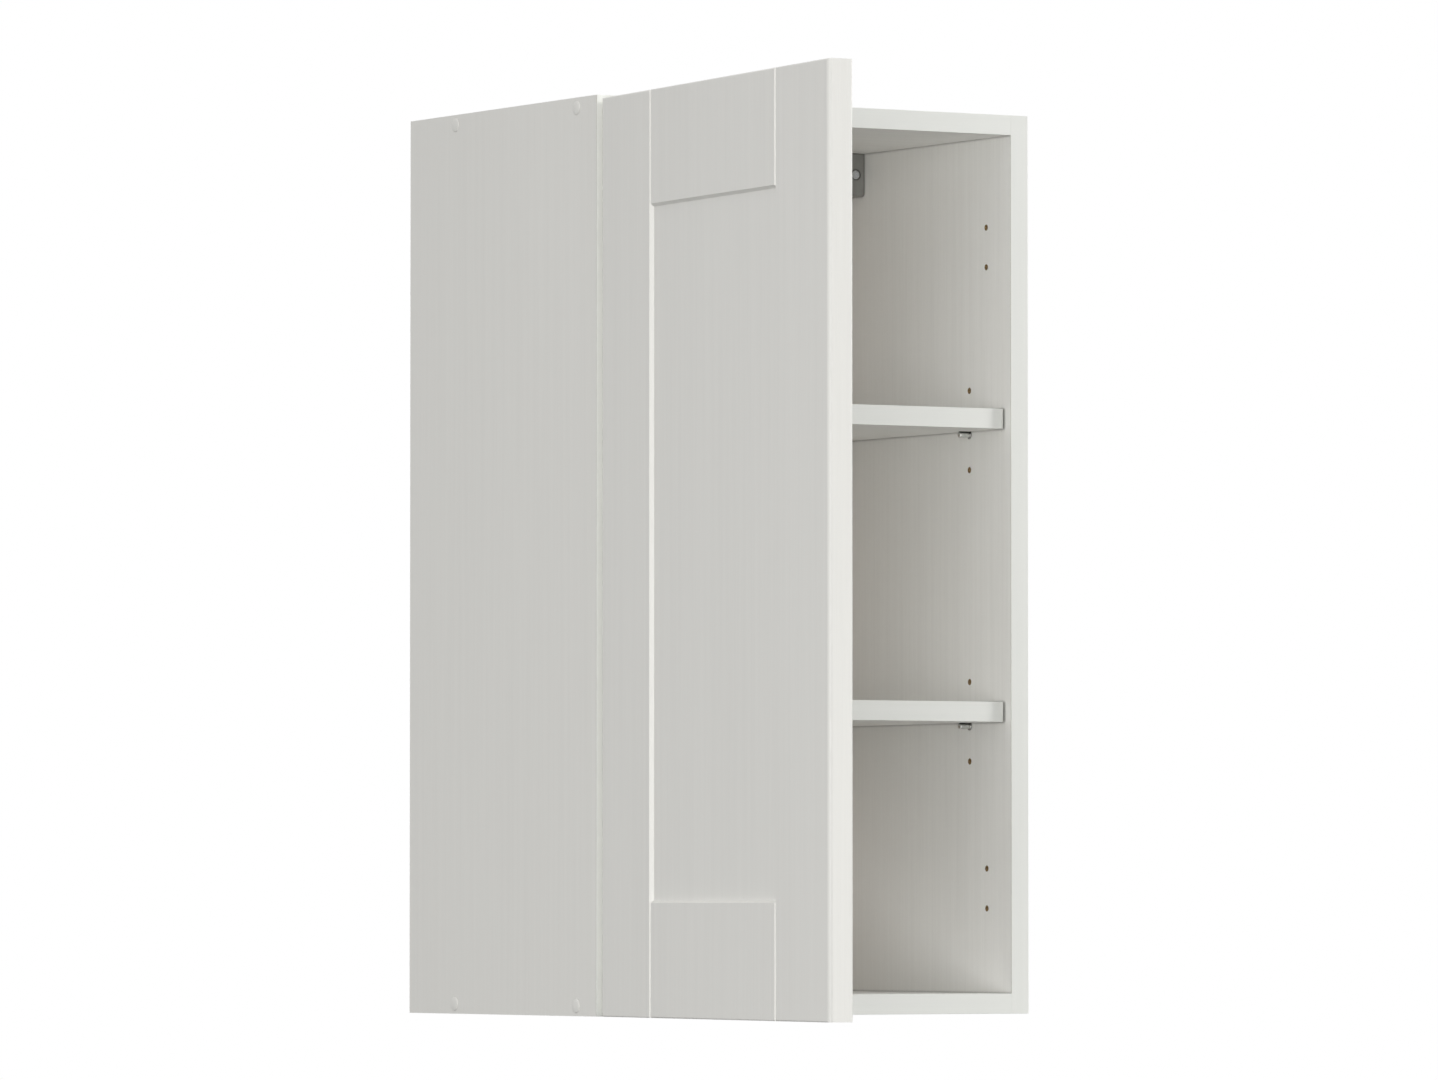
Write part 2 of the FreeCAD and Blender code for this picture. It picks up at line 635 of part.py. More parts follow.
# Soft bumpers on the door's inside, near its free edge
bumpers = []
for end, z in (("lower", "dim.bumper_from_end"), ("upper", f"{DOOR_TALL} - dim.bumper_from_end")):
    bumpers.append(rod(
        f"{end}_bumper", "y", f"{OUTER} - 0.75 * dim.board", DOOR_BACK, z, "dim.bumper_rad", "dim.bumper_thick"))
node(swung(group("bumper_group", bumpers)), "door_bumpers")

# Hinges: plate and arm on the left side, cup and pin in the door
LEFT_FACE = f"-{INNER}"
plate_screws = []
arm_screws = []
cup_screws = []
for hinge, level in HINGE_Z.items():
    wings = box(
        f"{hinge}_wings", LEFT_FACE, f"{PLATE_Y} - dim.plate_deep / 2", f"{level} - dim.plate_tall / 2",
        "dim.plate_thick", "dim.plate_deep", "dim.plate_tall")
    spine = box(
        f"{hinge}_spine", LEFT_FACE, f"{FRONT} + dim.spine_start", f"{level} - dim.spine_tall / 2",
        "dim.plate_thick + dim.spine_thick", "dim.spine_long", "dim.spine_tall")
    plate_tools = []
    for step, shift in plate_steps.items():
        plate_tools.append(rod(
            f"{hinge}_{step}_plate_bore", "x", LEFT_FACE, PLATE_Y, level + shift,
            PLATE_BORE, "dim.plate_thick"))
        head = rod(
            f"{hinge}_{step}_screw_head", "x", f"{LEFT_FACE} + dim.plate_thick", PLATE_Y, level + shift,
            "dim.plate_screw_head_rad", "dim.plate_screw_head")
        body = rod(
            f"{hinge}_{step}_screw_body", "x", f"{LEFT_FACE} - dim.plate_screw_long", PLATE_Y, level + shift,
            "dim.plate_screw_rad", "dim.plate_screw_long + dim.plate_thick")
        plate_screws.append(fuse(f"{hinge}_{step}_plate_screw", [head, body]))

    # the arm sits on the spine, and its neck reaches round into the cup
    arm_low = f"({LEFT_FACE} + dim.plate_thick + dim.spine_thick)"
    cheek_low = f"({LEFT_FACE} + dim.plate_thick + dim.arm_play)"
    cheek_long = "dim.spine_thick - dim.arm_play"
    neck_x = f"({LEFT_FACE} + dim.neck_inset)"
    neck_low = f"{level} - dim.neck_tall / 2"
    arm_pieces = [
        box(f"{hinge}_arm_top", arm_low, f"{FRONT} + dim.spine_start - dim.arm_screw_inset",
            f"{level} - dim.arm_tall / 2", "dim.arm_thick",
            "dim.spine_long + dim.arm_screw_inset", "dim.arm_tall"),
        box(f"{hinge}_cheek_low", cheek_low, f"{FRONT} + dim.spine_start",
            f"{level} - dim.arm_tall / 2", cheek_long, "dim.spine_long", "dim.arm_cheek"),
        box(f"{hinge}_cheek_high", cheek_low, f"{FRONT} + dim.spine_start",
            f"{level} + dim.arm_tall / 2 - dim.arm_cheek", cheek_long, "dim.spine_long", "dim.arm_cheek"),
        box(f"{hinge}_neck", neck_x, f"{PIVOT_Y} - dim.arm_thick / 2", neck_low, "dim.arm_thick",
            f"{FRONT} + dim.spine_start - ({PIVOT_Y}) + dim.arm_thick / 2", "dim.neck_tall"),
        box(f"{hinge}_crook", PIVOT_X, f"{PIVOT_Y} - dim.arm_thick / 2", neck_low,
            f"{neck_x} - {PIVOT_X} + dim.arm_thick", "dim.arm_thick", "dim.neck_tall"),
        rod(f"{hinge}_knuckle", "z", PIVOT_X, PIVOT_Y, neck_low, "dim.knuckle_rad", "dim.neck_tall"),
    ]
    arm_tools = [rod(
        f"{hinge}_knuckle_bore", "z", PIVOT_X, PIVOT_Y, neck_low,
        "dim.pivot_rad + dim.pivot_play", "dim.neck_tall")]
    for end, y in (
            ("near", f"{FRONT} + dim.spine_start + dim.arm_screw_inset"),
            ("far", f"{FRONT} + dim.spine_start + dim.spine_long - dim.arm_screw_inset")):
        arm_tools.append(rod(
            f"{hinge}_{end}_arm_bore", "x", arm_low, y, level,
            "dim.arm_screw_rad + dim.fastener_play", "dim.arm_thick"))
        plate_tools.append(rod(
            f"{hinge}_{end}_spine_bore", "x", f"{arm_low} - dim.arm_screw_bite", y, level,
            "dim.arm_screw_rad + dim.fastener_play", "dim.arm_screw_bite"))
        head = rod(
            f"{hinge}_{end}_arm_screw_head", "x", f"{arm_low} + dim.arm_thick", y, level,
            "dim.arm_screw_head_rad", "dim.arm_screw_head")
        body = rod(
            f"{hinge}_{end}_arm_screw_body", "x", f"{arm_low} - dim.arm_screw_bite", y, level,
            "dim.arm_screw_rad", "dim.arm_screw_bite + dim.arm_thick")
        arm_screws.append(fuse(f"{hinge}_{end}_arm_screw", [head, body]))
    node(cut(f"{hinge}_plate", fuse(f"{hinge}_plate_blank", [wings, spine]), plate_tools),
         f"{hinge}_hinge_plate")
    node(cut(f"{hinge}_arm", fuse(f"{hinge}_arm_blank", arm_pieces), arm_tools), f"{hinge}_hinge_arm")

    # the cup, its flange and the two lugs that hold the pin
    cup_floor = f"({DOOR_BACK} - dim.cup_deep)"
    pot = rod(f"{hinge}_pot", "y", CUP_X, cup_floor, level, "dim.cup_rad", "dim.cup_deep")
    flange_left = f"({CUP_X} - dim.cup_rad + dim.flange_outer_step)"
    flange_pieces = [
        box(f"{hinge}_flange", flange_left, DOOR_BACK, f"{level} - dim.cup_rad",
            f"{CUP_X} + dim.cup_rad - {flange_left}", "dim.flange_thick", "2 * dim.cup_rad"),
        box(f"{hinge}_flange_wings", f"{cup_screw_x} - dim.flange_wing / 2", DOOR_BACK,
            f"{level} - dim.flange_half", "dim.flange_wing", "dim.flange_thick", "2 * dim.flange_half"),
    ]
    hollow = rod(
        f"{hinge}_hollow", "y", CUP_X, f"{cup_floor} + dim.cup_wall", level,
        "dim.cup_rad - dim.cup_wall", "dim.cup_deep + dim.flange_thick")
    cup_tools = []
    for step, shift in (("low", " - dim.cup_screw_gap / 2"), ("high", " + dim.cup_screw_gap / 2")):
        cup_tools.append(rod(
            f"{hinge}_{step}_flange_bore", "y", cup_screw_x, DOOR_BACK, level + shift,
            "dim.cup_screw_rad + dim.fastener_play", "dim.flange_thick"))
        head = rod(
            f"{hinge}_{step}_cup_screw_head", "y", cup_screw_x, f"{DOOR_BACK} + dim.flange_thick",
            level + shift, "dim.cup_screw_head_rad", "dim.cup_screw_head")
        body = rod(
            f"{hinge}_{step}_cup_screw_body", "y", cup_screw_x, f"{DOOR_BACK} - dim.cup_screw_bite",
            level + shift, "dim.cup_screw_rad", "dim.cup_screw_bite + dim.flange_thick")
        cup_screws.append(fuse(f"{hinge}_{step}_cup_screw", [head, body]))
    shell = cut(f"{hinge}_shell", fuse(f"{hinge}_cup_blank", [pot] + flange_pieces), [hollow])
    lug_deep = f"({PIVOT_Y} + dim.lug_half - {cup_floor})"
    lug_shift = "(dim.neck_tall / 2 + dim.lug_gap)"
    lugs = [
        box(f"{hinge}_lug_low", f"{PIVOT_X} - dim.lug_half", cup_floor, f"{level} - {lug_shift} - dim.lug_thick",
            "2 * dim.lug_half", lug_deep, "dim.lug_thick"),
        box(f"{hinge}_lug_high", f"{PIVOT_X} - dim.lug_half", cup_floor, f"{level} + {lug_shift}",
            "2 * dim.lug_half", lug_deep, "dim.lug_thick"),
    ]
    cup_tools.append(rod(
        f"{hinge}_pin_bore", "z", PIVOT_X, PIVOT_Y, f"{level} - dim.pivot_long / 2",
        "dim.pivot_rad + dim.fastener_play", "dim.pivot_long"))
    cup = cut(f"{hinge}_cup", fuse(f"{hinge}_cup_body", [shell] + lugs), cup_tools)
    node(swung(cup), f"{hinge}_hinge_cup")
    pin = rod(
        f"{hinge}_pin", "z", PIVOT_X, PIVOT_Y, f"{level} - dim.pivot_long / 2",
        "dim.pivot_rad", "dim.pivot_long")
    node(pin, f"{hinge}_hinge_pin")
node(group("plate_screw_group", plate_screws), "hinge_plate_screws")
node(group("arm_screw_group", arm_screws), "hinge_arm_screws")
node(swung(group("cup_screw_group", cup_screws)), "hinge_cup_screws")

# Check every object, then write each piece to its own file
doc.recompute()
for obj in doc.Objects:
    if "Invalid" in obj.State or "Error" in obj.State:
        raise RuntimeError(f"{obj.Name} failed: {obj.State}")
for obj in nodes:
    if obj.Shape.isNull() or not obj.Shape.isValid():
        raise RuntimeError(f"{obj.Label} has no valid shape")
os.makedirs("parts", exist_ok=True)
for obj in nodes:
    obj.Shape.exportStep(os.path.join("parts", obj.Label + ".step"))
    print(obj.Label, len(obj.Shape.Solids), round(obj.Shape.Volume, 1))
print(len(nodes), "pieces written")
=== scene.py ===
"""Looks of the wall cabinet: finishes, fine detail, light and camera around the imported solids."""
import json
import math

import bmesh
import bpy
from mathutils import Matrix, Vector

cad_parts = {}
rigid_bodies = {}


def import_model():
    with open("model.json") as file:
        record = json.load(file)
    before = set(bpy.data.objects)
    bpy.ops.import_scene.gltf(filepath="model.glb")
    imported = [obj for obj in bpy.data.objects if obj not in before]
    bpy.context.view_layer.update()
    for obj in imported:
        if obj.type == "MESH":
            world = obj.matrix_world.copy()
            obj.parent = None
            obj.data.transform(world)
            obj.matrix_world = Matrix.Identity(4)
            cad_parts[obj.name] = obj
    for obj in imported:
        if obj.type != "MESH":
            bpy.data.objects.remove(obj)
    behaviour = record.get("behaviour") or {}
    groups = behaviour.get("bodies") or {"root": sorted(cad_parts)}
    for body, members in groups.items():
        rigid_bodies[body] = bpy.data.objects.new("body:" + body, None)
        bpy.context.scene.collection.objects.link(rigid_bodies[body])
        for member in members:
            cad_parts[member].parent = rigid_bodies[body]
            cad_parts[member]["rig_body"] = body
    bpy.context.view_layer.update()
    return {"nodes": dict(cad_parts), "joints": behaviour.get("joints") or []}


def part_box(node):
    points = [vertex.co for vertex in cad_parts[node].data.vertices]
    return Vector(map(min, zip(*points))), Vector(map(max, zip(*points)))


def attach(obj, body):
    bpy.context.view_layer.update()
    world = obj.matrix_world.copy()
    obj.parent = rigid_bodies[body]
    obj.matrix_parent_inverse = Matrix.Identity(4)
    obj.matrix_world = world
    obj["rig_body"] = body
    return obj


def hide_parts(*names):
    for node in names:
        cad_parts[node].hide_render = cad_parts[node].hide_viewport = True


for leftover in list(bpy.data.objects):
    bpy.data.objects.remove(leftover)
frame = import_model()
nodes = frame["nodes"]
scene = bpy.context.scene
scene.view_settings.view_transform = "Standard"

WHITE = (1, 1, 1, 1)
QUARTER = math.radians(90)
MERGE = 0.000002  # corners nearer than this, in metres, are one corner

swing = next(joint for joint in frame["joints"] if joint["name"] == "door_swing")
OPEN = Matrix.Rotation(math.radians(-swing["range_deg"][1]), 3, "Z")  # the door's turn from shut to rest

# where finishes change, in metres, each a hair past the face that it follows
side_low, side_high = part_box("right_side_panel")
INNER_SIDE = side_low.x + 0.0005
INNER_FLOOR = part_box("bottom_panel")[1].z - 0.0005
INNER_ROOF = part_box("top_panel")[0].z + 0.0005
UPRIGHT_ENDS = side_low.z + 0.0006, side_high.z - 0.0006
BACK_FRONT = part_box("back_panel")[0].y + 0.0002


# ---------------------------------------------------------------- materials
def tone(red, green, blue):
    """A colour written as it shows on a screen, 0 to 255."""
    out = []
    for value in (red, green, blue):
        c = value / 255
        out.append(c / 12.92 if c <= 0.04045 else ((c + 0.055) / 1.055) ** 2.4)
    return (*out, 1.0)


# ranges of a noise: the part that most of its values fill, and nearly all of it
MOST, NEARLY_ALL = (0.3, 0.7), (0.2, 0.8)
GRAIN_SPAN = 0.4, 2.6  # the range of three such noises added up
PORE_CUT = 0.62, 0.74  # only the peaks of the noise are pores
PORE_SHADE, PORE_DULLNESS, PORE_DEPTH = 0.22, 0.1, 0.8
CHIP_PALE, CHIP_MID, CHIP_DARK = tone(198, 170, 122), tone(122, 96, 58), tone(94, 72, 44)
CHIP_DULLNESS = 0.35
EDGE_ON = 0.5  # a face that looks along an axis by less than this is one of the board's edges
LACQUER_SHINE = 0.3

# painted shade: materials darken near other faces, in the corners and joints where shade falls
CORNER_SHADE_TONE = tone(60, 56, 50)
CORNER_SHADE_RAYS = 6
CORNER_SHADE_OPENNESS = 0.45, 0.95  # from fully dark to clear
# how far the painted shade in corners and joints reaches from another face, in metres, and how dark it is
BOARD_CORNER_SHADE, STEEL_CORNER_SHADE, HANGER_CORNER_SHADE = (0.0022, 0.5), (0.0026, 0.85), (0.0015, 0.6)


class Graph:
    """A node tree under construction, with short names for the nodes it needs."""

    def __init__(self, tree):
        self.tree = tree

    def node(self, kind, **settings):
        made = self.tree.nodes.new(kind)
        for key, value in settings.items():
            setattr(made, key, value)
        return made

    def link(self, source, target):
        self.tree.links.new(source, target)

    def feed(self, socket, value):
        """A socket takes a number, a colour or another node's output."""
        if isinstance(value, bpy.types.NodeSocket):
            self.link(value, socket)
        else:
            socket.default_value = value

    def part(self, vector, axis):
        """One coordinate of a vector."""
        made = self.node("ShaderNodeSeparateXYZ")
        self.link(vector, made.inputs["Vector"])
        return made.outputs[axis]

    def combine(self, first, second, operation="ADD"):
        """Two values made into one."""
        made = self.node("ShaderNodeMath", operation=operation)
        self.feed(made.inputs[0], first)
        self.feed(made.inputs[1], second)
        return made.outputs["Value"]

    def spread(self, value, low, high, out_low=0.0, out_high=1.0, course="LINEAR"):
        """A value taken from one range to another, held at the ends."""
        made = self.node("ShaderNodeMapRange", interpolation_type=course)
        self.link(value, made.inputs["Value"])
        ends = {"From Min": low, "From Max": high, "To Min": out_low, "To Max": out_high}
        for key, number in ends.items():
            made.inputs[key].default_value = number
        return made.outputs["Result"]

    def choose(self, share, first, second):
        """The first shader where the share is 0, the second where it is 1."""
        made = self.node("ShaderNodeMixShader")
        self.link(share, made.inputs["Fac"])
        self.link(first, made.inputs[1])
        self.link(second, made.inputs[2])
        return made.outputs["Shader"]


class Finish(Graph):
    """A material under construction."""

    def __init__(self, name):
        self.material = bpy.data.materials.new(name)
        self.material.use_nodes = True
        super().__init__(self.material.node_tree)
        self.shader = self.tree.nodes["Principled BSDF"]
        self.place = self.node("ShaderNodeTexCoord").outputs["Object"]

    def stretch(self, scale):
        """Object coordinates, scaled along each axis."""
        mapping = self.node("ShaderNodeMapping")
        self.link(self.place, mapping.inputs["Vector"])
        mapping.inputs["Scale"].default_value = scale
        return mapping.outputs["Vector"]

    def noise(self, scale, detail=2.0, rough=0.5):
        """Cloudy noise, with about so many spots to the metre along each axis."""
        made = self.node("ShaderNodeTexNoise")
        self.link(self.stretch(scale), made.inputs["Vector"])
        made.inputs["Scale"].default_value = 1.0
        made.inputs["Detail"].default_value = detail
        made.inputs["Roughness"].default_value = rough
        return made.outputs["Fac"]

    def cells(self, scale):
        """How far a point is from the middle of its cell, with about so many cells to the metre."""
        made = self.node("ShaderNodeTexVoronoi")
        self.link(self.stretch(scale), made.inputs["Vector"])
        made.inputs["Scale"].default_value = 1.0
        return made.outputs["Distance"]

    def blend(self, share, first, second):
        """The first colour where the share is 0, the second where it is 1."""
        made = self.node("ShaderNodeMix", data_type="RGBA")
        self.feed(made.inputs["Factor"], share)
        self.feed(made.inputs["A"], first)
        self.feed(made.inputs["B"], second)
        return made.outputs["Result"]

    def facing(self, axis):
        """How squarely a face looks along an axis, either way."""
        normal = self.node("ShaderNodeNewGeometry").outputs["True Normal"]
        return self.combine(self.part(normal, axis), 0.0, "ABSOLUTE")

    def between(self, value, low, high):
        """1 where a value lies between two limits, otherwise 0."""
        above = self.combine(value, low, "GREATER_THAN")
        return self.combine(above, self.combine(value, high, "LESS_THAN"), "MULTIPLY")

    def within(self):
        """1 on faces towards the cabinet's inside, 0 on its outer faces."""
        aside = self.combine(self.part(self.place, "X"), 0.0, "ABSOLUTE")
        height = self.between(self.part(self.place, "Z"), INNER_FLOOR, INNER_ROOF)
        return self.combine(self.combine(aside, INNER_SIDE, "LESS_THAN"), height, "MULTIPLY")

    def corner_shade(self, colour, reach, share):
        """A colour with painted shade: it darkens by a share within a small reach of another face, in the
        corners where boards and parts meet.
        """
        near = self.node("ShaderNodeAmbientOcclusion", samples=CORNER_SHADE_RAYS)
        near.inputs["Distance"].default_value = reach
        return self.blend(self.spread(near.outputs["AO"], *CORNER_SHADE_OPENNESS, share, 0.0), colour, CORNER_SHADE_TONE)

    def relief(self, height, depth):
        """Bumps, as deep as given in metres."""
        made = self.node("ShaderNodeBump")
        made.inputs["Strength"].default_value = 1.0
        made.inputs["Distance"].default_value = depth
        self.link(height, made.inputs["Height"])
        self.link(made.outputs["Normal"], self.shader.inputs["Normal"])

    def colour(self, value):
        self.feed(self.shader.inputs["Base Color"], value)

    def rough(self, value):
        self.feed(self.shader.inputs["Roughness"], value)


def along(axis, across, length):
    """Texture scales for a grain that runs along one axis."""
    return tuple(length if name == axis else across for name in "XYZ")


def grained(name, axis, light, dark, gloss=(0.40, 0.54), depth=0.00006, raw=None, painted_inside=None):
    """Decor with a fine grain along one axis.

    raw is the axis that the decor's faces look along, where the other faces show the bare chips.
    The last argument gives paler light and dark colours for the cabinet's inside faces: painted light that
    brightens the interior.
    """
    made = Finish(name)
    fibre = made.noise(along(axis, 1100, 14), 3, 0.6)
    streak = made.noise(along(axis, 190, 2.6))
    cloud = made.noise(along(axis, 9, 2.0))
    pore = made.spread(made.noise(along(axis, 1900, 70), 1), *PORE_CUT)
    lines = made.combine(made.spread(fibre, *MOST), made.spread(streak, *MOST))
    lines = made.combine(lines, made.spread(cloud, *MOST))
    pale = made.spread(lines, *GRAIN_SPAN)
    face = made.blend(pale, dark, light)
    if painted_inside:
        # the inside faces take the paler colours: painted light that brightens the interior
        face = made.blend(made.within(), face, made.blend(pale, painted_inside[1], painted_inside[0]))
        # painted shade in the corners where the boards meet
        face = made.corner_shade(face, *BOARD_CORNER_SHADE)
    face = made.blend(made.combine(pore, PORE_SHADE, "MULTIPLY"), face, dark)
    rough = made.spread(fibre, *NEARLY_ALL, *gloss)
    rough = made.combine(rough, made.combine(pore, PORE_DULLNESS, "MULTIPLY"))
    height = made.combine(fibre, made.combine(pore, PORE_DEPTH, "MULTIPLY"), "SUBTRACT")
    if raw:
        chips = made.blend(made.cells((420, 420, 1100)), CHIP_PALE, CHIP_MID)
        chips = made.blend(made.spread(made.noise((900, 900, 900)), 0.45, 0.7), chips, CHIP_DARK)
        bare = made.combine(made.facing(raw), EDGE_ON, "LESS_THAN")
        if raw == "X":  # the ends of the upright boards are closed with the decor too
            bare = made.combine(bare, made.between(made.part(made.place, "Z"), *UPRIGHT_ENDS), "MULTIPLY")
        face = made.blend(bare, face, chips)
        rough = made.combine(rough, made.combine(bare, CHIP_DULLNESS, "MULTIPLY"))
    made.colour(face)
    made.rough(rough)
    made.relief(height, depth)
    return made.material


def metal(name, light, dark, gloss, painted_shade=None):
    """Plated steel with a fine drawn finish and dull patches."""
    made = Finish(name)
    made.shader.inputs["Metallic"].default_value = 1.0
    drawn = made.noise((2400, 2400, 260))
    patch = made.noise((160, 160, 160), 3, 0.6)
    face = made.blend(made.spread(patch, 0.35, 0.7), light, dark)
    # painted shade where the steel meets other faces, when asked for
    made.colour(made.corner_shade(face, *painted_shade) if painted_shade else face)
    streaks = made.spread(drawn, *NEARLY_ALL, -0.04, 0.05)
    made.rough(made.combine(made.spread(patch, 0.3, 0.75, *gloss), streaks))
    made.relief(drawn, 0.00002)
    return made.material


def moulded(name, light, dark, gloss=(0.42, 0.56), depth=0.00003, painted_shade=None):
    """Moulded plastic or rubber with a fine spark-eroded skin."""
    made = Finish(name)
    skin = made.noise((2600, 2600, 2600), 2, 0.6)
    flow = made.noise((140, 140, 60), 3)
    face = made.blend(made.spread(flow, 0.3, 0.72), light, dark)
    # painted shade where the plastic meets other faces, when asked for
    made.colour(made.corner_shade(face, *painted_shade) if painted_shade else face)
    made.rough(made.spread(skin, *MOST, *gloss))
    made.relief(skin, depth)
    return made.material


def hardboard(name):
    """Thin back: lacquered towards the inside, bare pressed fibre towards the wall."""
    made = Finish(name)
    fleck = made.noise((700, 700, 700), 4, 0.65)
    hair = made.noise((1600, 1600, 120))
    broad = made.noise((14, 14, 14), 3)
    bare = made.blend(made.spread(fleck, 0.32, 0.7), tone(150, 112, 74), tone(112, 80, 50))
    bare = made.blend(made.spread(hair, 0.6, 0.75, 0, 0.5), bare, tone(176, 138, 96))
    bare = made.blend(made.spread(broad, 0.35, 0.7, 0, 0.35), bare, tone(104, 74, 46))
    brushed = made.spread(made.noise((500, 500, 10), 3), *MOST)
    lacquer = made.blend(brushed, tone(246, 234, 224), tone(242, 229, 219))
    inside = made.combine(made.part(made.place, "Y"), BACK_FRONT, "LESS_THAN")
    made.colour(made.blend(inside, bare, lacquer))
    shine = made.combine(inside, LACQUER_SHINE, "MULTIPLY")
    made.rough(made.combine(made.spread(fleck, *MOST, 0.7, 0.84), shine, "SUBTRACT"))
    made.relief(fleck, 0.00008)
    return made.material


# light and dark colour of each decor
BOARD = tone(242, 241, 236), tone(237, 236, 231)
BAND = tone(239, 240, 235), tone(236, 237, 232)
# paler copy of the board decor for the cabinet's inside faces: painted light that brightens the interior
INSIDE_PAINTED_LIGHT = tone(252, 252, 249), tone(242, 242, 239)
BAND_SKIN = {"gloss": (0.34, 0.44), "depth": 0.00003}

board_upright = grained("board_upright", "Z", *BOARD, raw="X", painted_inside=INSIDE_PAINTED_LIGHT)
board_level = grained("board_level", "X", *BOARD, raw="Z", painted_inside=INSIDE_PAINTED_LIGHT)
foil = grained("door_foil", "Z", *BOARD, gloss=(0.36, 0.48), depth=0.00005)
band_upright = grained("band_upright", "Z", *BAND, **BAND_SKIN)
band_level = grained("band_level", "X", *BAND, **BAND_SKIN)
steel = metal("nickel_steel", tone(222, 223, 221), tone(194, 195, 193), (0.1, 0.22), STEEL_CORNER_SHADE)
zinc = metal("zinc_steel", tone(222, 223, 225), tone(186, 188, 192), (0.2, 0.34))
plastic = moulded("hanger_plastic", tone(159, 158, 154), tone(147, 146, 142), painted_shade=HANGER_CORNER_SHADE)
cap_plastic = moulded("cap_plastic", tone(240, 239, 234), tone(237, 236, 231), gloss=(0.36, 0.5))
rubber = moulded("bumper_rubber", tone(206, 206, 202), tone(190, 190, 186), gloss=(0.5, 0.7), depth=0.00002)
beech = grained("dowel_beech", "X", tone(214, 176, 128), tone(186, 142, 94), gloss=(0.5, 0.66))
back = hardboard("back_hardboard")

# pieces that aren't named here are nickel-plated steel
FINISHES = {
    "left_side_panel": board_upright, "right_side_panel": board_upright,
    "top_panel": board_level, "bottom_panel": board_level,
    "upper_shelf": board_level, "lower_shelf": board_level,
    "left_side_edge_band": band_upright, "right_side_edge_band": band_upright,
    "top_edge_band": band_level, "bottom_edge_band": band_level,
    "upper_shelf_edge_band": band_level, "lower_shelf_edge_band": band_level,
    "back_panel": back, "door_panel": foil, "door_bumpers": rubber,
    "left_cover_caps": cap_plastic, "right_cover_caps": cap_plastic,
    "carcass_dowels": beech, "left_hanger_housing": plastic, "right_hanger_housing": plastic,
    "left_hanger_hook": zinc, "right_hanger_hook": zinc,
    "left_hanger_adjuster": zinc, "right_hanger_adjuster": zinc,
    "hanger_screws": zinc, "carcass_screws": zinc,
}
# how far the edges of a piece are eased at most, in millimetres
EASE = {
    "left_side_panel": 0.2, "right_side_panel": 0.2, "top_panel": 0.7, "bottom_panel": 0.7,
    "upper_shelf": 0.15, "lower_shelf": 0.15, "door_panel": 0.5, "back_panel": 0.15,
    "left_hanger_housing": 0.5, "right_hanger_housing": 0.5,
    "left_hanger_hook": 0.5, "right_hanger_hook": 0.5,
    "upper_hinge_plate": 0.5, "lower_hinge_plate": 0.5, "upper_hinge_arm": 0.6, "lower_hinge_arm": 0.6,
    "upper_hinge_cup": 0.3, "lower_hinge_cup": 0.3,
}
OTHER_EASE = 0.25
FLAT, CREASE = math.radians(0.4), math.radians(34)  # faces that meet by less are one, by more are eased

for name, piece in nodes.items():
    piece.data.materials.clear()
    piece.data.materials.append(FINISHES.get(name, steel))
    weld = piece.modifiers.new("join", "WELD")
    weld.merge_threshold = MERGE
    flat = piece.modifiers.new("flats", "DECIMATE")
    flat.decimate_type = "DISSOLVE"
    flat.angle_limit = FLAT
    ease = piece.modifiers.new("ease", "BEVEL")
    ease.width = EASE.get(name, OTHER_EASE) / 1000
    ease.segments = 3
    ease.limit_method = "ANGLE"
    ease.angle_limit = CREASE
    ease.use_clamp_overlap = True
    ease.harden_normals = True


# ---------------------------------------------------------------- fine pieces
ACROSS, DEPTH = Vector((1, 0, 0)), Vector((0, 1, 0))
INTO_ROOM = OPEN @ DEPTH  # away from the door's inside, at rest
ROUND_STEPS, CROWN_STEPS, NOSE_STEPS = 40, 9, 6
HEAD_SHARE, SLIM_SHARE = 0.97, 0.9  # of the widest radius: a head is wider than this, a shank slimmer
SHARP = math.radians(38)  # faces that meet by more keep a crisp edge
CAP_RIM, BUMPER_RIM = 0.25, 0.5  # upright share of a button's height

# shares of a peg's collar height and of its pin's radius
COLLAR_EASE = 0.15
NOSE, ROOT_RADIUS, ROOT_RISE = 0.4, 1.12, 0.12

# a pan head from its underside to its flat, as shares of its radius and height
PAN_HEAD = (0.96, 0), (1, 0.12), (0.98, 0.42), (0.9, 0.72), (0.78, 0.92), (0.64, 1)
SCREW_TIP = 0.5  # share of the shank's radius
CROSS_HALF, CROSS_REACH = 0.13, 0.52  # half width and length of the recess's arms, by the head's radius
CROSS_TAPER, CROSS_DEPTH = 0.62, 0.85  # the recess's bottom by its mouth, its depth by the head's height


def solids(node):
    """The corners of each separate solid of a CAD node."""
    mesh = bmesh.new()
    mesh.from_mesh(nodes[node].data)
    bmesh.ops.remove_doubles(mesh, verts=mesh.verts, dist=MERGE)
    seen, found = set(), []
    for start in mesh.verts:
        if start in seen:
            continue
        seen.add(start)
        todo, corners = [start], []
        while todo:
            corner = todo.pop()
            corners.append(corner.co.copy())
            for edge in corner.link_edges:
                other = edge.other_vert(corner)
                if other not in seen:
                    seen.add(other)
                    todo.append(other)
        found.append(corners)
    mesh.free()
    return found


